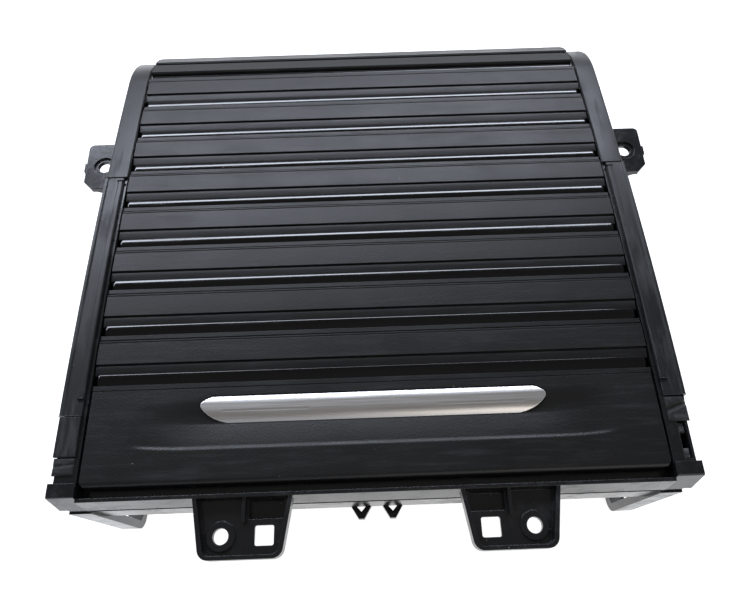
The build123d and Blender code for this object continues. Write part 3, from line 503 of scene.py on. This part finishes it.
# %% [markdown]
# ## Front panel
# The panel leads the curtain.  A finger scoop starts at a soft crease and deepens towards
# the handle, and it fades out at both ends.  The handle lies in a recess with a hairline
# gap round it.  All of it is a height over (x, s), on a grid whose columns follow the
# handle's outline so that the recess keeps a clean edge.
# %% Front panel
PANEL_LENGTH = rear_length("front_panel")
CREASE = 10.8 * MM
SCOOP_HALF = 81 * MM
SCOOP_STEP = 0.3 * MM
SCOOP_DEEP = 1.5 * MM
CORNER = 2.5 * MM
FRONT_ROUND = 1.5 * MM
SIDE_ROUND = 0.7 * MM
HANDLE_GAP = 0.28 * MM
BEND_FROM = 55 * MM
BEND_RISE = 1.4 * MM
STEP_LENGTH = 1.3 * MM
FADE_FROM = 48 * MM
STEP_FADE_FROM = 74 * MM
STEP_FADE = 7.5 * MM


def smooth(value):
    """The usual ease curve, 3v^2 - 2v^3, of a value kept between 0 and 1."""
    value = np.clip(value, 0, 1)
    return value * value * (3 - 2 * value)


def scoop_depth(x, s):
    """A soft step at the crease, then an even fall to the handle, faded out at the ends."""
    bend_up = BEND_RISE * np.clip((np.abs(x) - BEND_FROM) / (SCOOP_HALF - BEND_FROM), 0, 1.4) ** 3
    past = s - CREASE - bend_up
    step = SCOOP_STEP * smooth(past / STEP_LENGTH)
    fall = (SCOOP_DEEP - SCOOP_STEP) * np.clip(past / (HANDLE_FRONT - CREASE), 0, 1) ** 1.3
    end_fade = 1 - smooth((np.abs(x) - FADE_FROM) / (SCOOP_HALF - 50 * MM))
    step_fade = 1 - smooth((np.abs(x) - STEP_FADE_FROM) / STEP_FADE)
    behind = 1 - smooth((s - HANDLE_FRONT) / (HANDLE_REAR - HANDLE_FRONT))
    return (step * step_fade + fall * end_fade) * behind


print("scoop", np.round(scoop_depth(0.0, np.array([10, 14, 18]) * MM) / MM, 2), "mm deep")

# %% [markdown]
# ## The panel's surface
# Rows run across the panel from front to back.  They crowd where the height changes fast:
# at the rounded front edge, in the scoop and at the thin line before the rear band.  Each
# row takes the greatest of the drops that apply, so one cut never fills another.
# %% Panel surface
def panel_rings():
    """Rows from front to back: the top left to right, then a flat underside right to left."""
    round_rows = FRONT_ROUND * (1 - np.cos(np.linspace(0, pi / 2, 7)))
    rear_band = PANEL_LENGTH - REAR_BAND
    line_rows = [rear_band - LINE - 0.03 * MM, rear_band - LINE, rear_band, rear_band + 0.03 * MM]
    recess_rows = [HANDLE_REAR + HANDLE_GAP, HANDLE_REAR + HANDLE_GAP + 0.04 * MM]
    rows = np.concatenate([
        round_rows, np.arange(1.8, 9.9, 0.9) * MM, np.arange(10.0, 19.5, 0.3) * MM,
        np.linspace(HANDLE_FRONT, HANDLE_REAR, 34), recess_rows,
        [HANDLE_REAR + 0.9 * MM, HANDLE_REAR + 1.5 * MM], line_rows,
        [PANEL_LENGTH - 0.8 * MM, PANEL_LENGTH - 0.2 * MM, PANEL_LENGTH - 0.05 * MM, PANEL_LENGTH]])
    s = np.unique(np.round(rows, 7))[:, None]
    half = HALF - CORNER + np.sqrt(np.maximum(CORNER ** 2 - np.maximum(CORNER - s, 0) ** 2, 0))
    edge_in = handle_half(np.clip(s, HANDLE_FRONT, HANDLE_REAR)) + HANDLE_GAP
    edge_out = edge_in + 0.04 * MM
    inner = np.linspace(0, 1, 60)[None, :] * edge_in
    spread = np.linspace(0, 1, 60)[None, :]
    outer = edge_out + (half - SIDE_ROUND - edge_out) * spread
    rim = half - SIDE_ROUND * (1 - np.sin(np.linspace(0, pi / 2, 6)))[None, 1:]
    right = np.concatenate([inner, outer, rim], axis=1)
    x = np.concatenate([-right[:, :0:-1], right], axis=1)
    drop = scoop_depth(x, s)
    front_drop = FRONT_ROUND - np.sqrt(
        np.maximum(FRONT_ROUND ** 2 - np.maximum(FRONT_ROUND - s, 0) ** 2, 0))
    inside = half - np.abs(x)
    side_drop = SIDE_ROUND - np.sqrt(
        np.maximum(SIDE_ROUND ** 2 - np.maximum(SIDE_ROUND - inside, 0) ** 2, 0))
    drop = np.maximum(np.maximum(drop, side_drop), front_drop)
    in_line = (s >= rear_band - LINE) & (s <= rear_band)
    drop = np.where(s > rear_band, np.maximum(drop, REAR_DROP), drop)
    drop = np.where(in_line, np.maximum(drop, REAR_DROP + LINE_DEPTH), drop)
    in_handle = (np.abs(x) <= edge_in + 1e-9) & (s > HANDLE_FRONT + 0.5 * MM)
    in_handle = in_handle & (s <= HANDLE_REAR + HANDLE_GAP + 1e-9)
    drop = np.where(in_handle, np.maximum(drop, HANDLE_DEEP + 0.9 * MM), drop)
    under = np.full_like(x, -SLAT_THICK)
    ring_x = np.concatenate([x, x[:, ::-1]], axis=1)
    ring_n = np.concatenate([-drop, under], axis=1)
    return on_arc(ring_x, s, ring_n)


panel = carried("grained_front_panel", panel_rings(), abs_grained, "curtain",
                ["front_panel"], sharp=50)
print("panel", len(panel.data.polygons), "faces")

# %% [markdown]
# ## Side caps
# Each rail is covered by two caps.  The rear one is smooth and follows the bend down.  The
# front one has an outer ridge, a flat face and an inner rib beside the curtain.  Each is a
# (width, height) section carried along the frame's line, with its outer edge as an arc.
# %% Side caps
rear_cap_low, rear_cap_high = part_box("right_rear_cap")
front_cap_low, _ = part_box("right_front_cap")
CAP_OUT = rear_cap_high[0]
CAP_IN = rear_cap_low[0]
RAIL_IN = front_cap_low[0]
CAP_THICK = 0.9 * MM
CAP_ROUND = 1.1 * MM
SKIRT = 6.0 * MM
SKIRT_THICK = 1.2 * MM
CAP_SEAM = 122.0 * MM
CAP_FRONT = 23.3 * MM
RIB_START = 29.0 * MM
RIB_WIDTH = 1.9 * MM
RIB_RAISE = 0.6 * MM
RIDGE_WIDTH = 1.1 * MM
RIDGE_RAISE = 0.5 * MM


def rear_section():
    """(width, height) of the rear cap: a flat top whose outer corner is a quarter circle."""
    turn = np.linspace(0, pi / 2, 7)
    corner = np.stack([CAP_OUT - CAP_ROUND * (1 - np.sin(turn)),
                       CAP_THICK - CAP_ROUND * (1 - np.cos(turn))], axis=1)
    rest = [(CAP_OUT, -SKIRT), (CAP_OUT - SKIRT_THICK, -SKIRT), (CAP_OUT - SKIRT_THICK, 0),
            (CAP_IN, 0), (CAP_IN, CAP_THICK)]
    return np.concatenate([corner, rest])


def front_section():
    """(width, height) of the front cap, with its outer ridge."""
    top = CAP_THICK
    return np.array([
        (CAP_OUT, top + RIDGE_RAISE), (CAP_OUT, -SKIRT), (CAP_OUT - SKIRT_THICK, -SKIRT),
        (CAP_OUT - SKIRT_THICK, 0), (RAIL_IN, 0), (RAIL_IN, top),
        (CAP_OUT - RIDGE_WIDTH - 0.3 * MM, top), (CAP_OUT - RIDGE_WIDTH, top + RIDGE_RAISE)])


def rib_section():
    """(width, height) of the raised rib beside the curtain."""
    low = CAP_THICK - 0.3 * MM
    high = CAP_THICK + RIB_RAISE
    return np.array([(RAIL_IN, low), (RAIL_IN, high), (RAIL_IN + RIB_WIDTH, high),
                     (RAIL_IN + RIB_WIDTH, low)])


print("cap sections", len(rear_section()), len(front_section()), len(rib_section()), "points")

# %% [markdown]
# ## The caps along the rails
# The front cap stays on the large arc.  The rear cap follows it and then the small bend, so
# its lengths run past the bend's start.  The left side is the right one mirrored in x.
# %% Caps on both sides
def rail(section_points, lengths, side):
    """Rings of a side part: its section at each length, mirrored for the left side."""
    x = side * section_points[None, :, 0]
    return on_rail(x, lengths[:, None], section_points[None, :, 1])


bend_lengths = RAIL_BEND + BEND_RADIUS * np.linspace(0, BEND_ANGLE, 26)[1:]
rear_lengths = np.concatenate([np.linspace(CAP_SEAM + 0.2 * MM, RAIL_BEND, 22), bend_lengths])
front_lengths = np.linspace(CAP_FRONT, CAP_SEAM, 30)
rib_lengths = np.linspace(RIB_START, CAP_SEAM - 2 * MM, 28)
for name, side in (("right", 1), ("left", -1)):
    carried(f"satin_{name}_rear_cap", rail(rear_section(), rear_lengths, side), pp_satin,
            "frame", [f"{name}_rear_cap"], bevel_mm=0.3)
    carried(f"satin_{name}_front_cap", rail(front_section(), front_lengths, side), pp_satin,
            "frame", [f"{name}_front_cap"], bevel_mm=0.22)
    carried(f"{name}_rail_rib", rail(rib_section(), rib_lengths, side), pp_satin,
            "frame", [f"{name}_front_cap"], bevel_mm=0.4)
print("caps from", round(CAP_FRONT / MM), "to", round(rear_lengths[-1] / MM), "mm")

# %% [markdown]
# ## Bumpers
# Two soft rubber cushions take the knock when the cover is pushed shut.  Rubber that is
# pressed often keeps a fold, so each has one slanting wrinkle across a rounded top.
# %% Bumpers
CUSHION_ROUND = 0.7 * MM


def bumper_rings(low, high, fold_mm, slant):
    """A cushion over (x, s): edges dropped by a quarter circle, a fold by a bell curve."""
    across = np.linspace(-1, 1, 17)[None, :]
    along = np.linspace(-1, 1, 33)[:, None]
    past = np.clip((np.maximum(np.abs(across), np.abs(along)) - 0.74) / 0.26, 0, 1)
    fold = fold_mm * MM * np.exp(-((along - slant * across - 0.15) / 0.17) ** 2)
    top = high[2] - AXIS_Z - ARC_RADIUS - fold - CUSHION_ROUND * (1 - np.sqrt(1 - past ** 2))
    under = np.full_like(top, low[2] - AXIS_Z - ARC_RADIUS)
    x = (low[0] + high[0]) / 2 + (high[0] - low[0]) / 2 * (across + 0 * along)
    s = (low[1] + high[1]) / 2 - AXIS_Y + (high[1] - low[1]) / 2 * along
    ring_x = np.concatenate([x, x[:, ::-1]], axis=1)
    return on_arc(ring_x, s, np.concatenate([top, under], axis=1))


for name, fold_mm, slant in (("left_bumper", 0.5, 0.12), ("right_bumper", 0.9, 0.3)):
    cushion = bumper_rings(*np.array(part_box(name)), fold_mm, slant)
    carried("soft_" + name, cushion, epdm, "frame", [name], sharp=60)
    print(name, "cushion", np.round(np.ptp(cushion.reshape(-1, 3), axis=0) / MM, 1), "mm")

# %% [markdown]
# ## Pieces kept from the CAD model
# Cheeks, wall, blocks, loops, tie bar, tail and screws have their real shape already, so
# they only take a finish, whose Bevel node softens each moulded edge.
# %% Finishes for the CAD pieces
FINISH = {
    "grained_black": abs_grained, "gloss_web": tpe_gloss, "satin_aluminium": aluminium,
    "slide_plastic": acetal, "soft_rubber": epdm, "foam_pad": pu_foam, "zinc_screw": zinc,
    "satin_black": pp_satin, "frame_black": pp_frame,
}
kept = {}
for name, node in frame["nodes"].items():
    for filled in node.material_slots:
        slot = filled.material.name.split(".")[0]
        finish = next((FINISH[key] for key in FINISH if key in slot), None)
        kept[slot] = kept.get(slot, 0) + 1
        filled.material = finish or pp_frame
print(kept)

# %% [markdown]
# ## Floor, light and camera
# A white table top, which also glows a little, and a soft fill light above the front keep
# the shadows faint.  Black plastic shows what it reflects, so a wide bright panel behind
# the cover draws the thin highlights along the webs and the steps.
# %% Floor
FLOOR_HALF = 3.0  # metres
floor_mesh = bpy.data.meshes.new("table_top")
floor_mesh.from_pydata([(-FLOOR_HALF, -FLOOR_HALF, 0), (FLOOR_HALF, -FLOOR_HALF, 0),
                        (FLOOR_HALF, FLOOR_HALF, 0), (-FLOOR_HALF, FLOOR_HALF, 0)],
                       [], [(0, 1, 2, 3)])
floor = bpy.data.objects.new("table_top", floor_mesh)
bpy.context.scene.collection.objects.link(floor)
paper, paper_tree, paper_place = start_material("white_table_paper")
fibres = add_node(paper_tree, "ShaderNodeTexNoise", {"Vector": paper_place, "Scale": per_mm(40)})
tone = add_node(paper_tree, "ShaderNodeMapRange", {
    "Value": fibres.outputs["Fac"], "To Min": 0.78, "To Max": 0.84})
matt = add_node(paper_tree, "ShaderNodeBsdfPrincipled", {
    "Base Color": linear("#f2f3f5"), "Roughness": tone.outputs[0],
    "Emission Color": linear("#ffffff"), "Emission Strength": 0.84})
add_node(paper_tree, "ShaderNodeOutputMaterial", {"Surface": matt.outputs[0]})
floor_mesh.materials.append(paper)
print("floor", 2 * FLOOR_HALF, "m square")

# %% [markdown]
# ## Lights
# Seen from above, each slat mirrors a different height behind the cover, because the
# curtain is an arc.  So the sky is brightest at the horizon and dull overhead, and one
# long thin light stands behind: its reflection is the line along every web.
# %% Lights
from mathutils import Vector

scene = bpy.context.scene
scene.view_settings.view_transform = "Standard"
world = bpy.data.worlds.new("studio")
world.use_nodes = True
sky = world.node_tree
background = sky.nodes["Background"]
direction = add_node(sky, "ShaderNodeTexCoord").outputs["Generated"]
height = add_node(sky, "ShaderNodeSeparateXYZ", {"Vector": direction}).outputs["Z"]
glow = add_node(sky, "ShaderNodeValToRGB", {"Fac": height})
stops = glow.color_ramp.elements
stops[0].position = 0.0
stops[0].color = linear("#f4f6fa")
stops[1].position = 1.0
stops[1].color = linear("#807e7c")
for position, colour in ((0.2, "#d0d4dc"), (0.5, "#9a9da4"), (0.68, "#727275"), (0.82, "#6e6c6a")):
    stops.new(position).color = linear(colour)
sky.links.new(glow.outputs[0], background.inputs["Color"])
background.inputs["Strength"].default_value = 1.0
scene.world = world


def soft_light(name, place, target, width, height, power, colour):
    """A rectangular area light at place that faces target."""
    data = bpy.data.lights.new(name, "AREA")
    data.shape = "RECTANGLE"
    data.size = width
    data.size_y = height
    data.energy = power
    data.color = linear(colour)[:3]
    light = bpy.data.objects.new(name, data)
    light.location = place
    light.rotation_euler = (Vector(target) - Vector(place)).to_track_quat("-Z", "Y").to_euler()
    scene.collection.objects.link(light)
    return light


soft_light("window", (-0.24, 0.97, 0.92), (-0.02, 0.0, 0.06), 2.0, 0.16, 17.0, "#e9f0ff")
soft_light("fill", (0.5, -1.1, 1.0), (0, 0, 0.05), 0.8, 0.6, 2.5, "#fff6ec")

# %% [markdown]
# ## Camera
# The camera looks down at about 66 degrees from the front.  It was fitted to the slats'
# edges, which fix its height and lens because they are parallel and evenly spaced.
# %% Camera
from mathutils import Matrix

CAMERA = (-0.000187, -0.125036, 0.282944)
HEADING = radians(1.146)
ELEVATION = radians(65.58)
ROLL = radians(-0.911)
forward = np.array([cos(ELEVATION) * sin(HEADING), cos(ELEVATION) * cos(HEADING), -sin(ELEVATION)])
level = np.array([cos(HEADING), -sin(HEADING), 0.0])
upright = np.cross(level, forward)
right = level * cos(ROLL) + upright * sin(ROLL)
up = upright * cos(ROLL) - level * sin(ROLL)
lens = bpy.data.cameras.new("camera")
lens.lens = 31.32
lens.sensor_width = 36.0
lens.clip_start = 0.01
camera = bpy.data.objects.new("camera", lens)
camera.matrix_world = Matrix([
    (right[0], up[0], -forward[0], CAMERA[0]), (right[1], up[1], -forward[1], CAMERA[1]),
    (right[2], up[2], -forward[2], CAMERA[2]), (0, 0, 0, 1)])
scene.collection.objects.link(camera)
bpy.context.scene.camera = camera
print("camera", CAMERA)
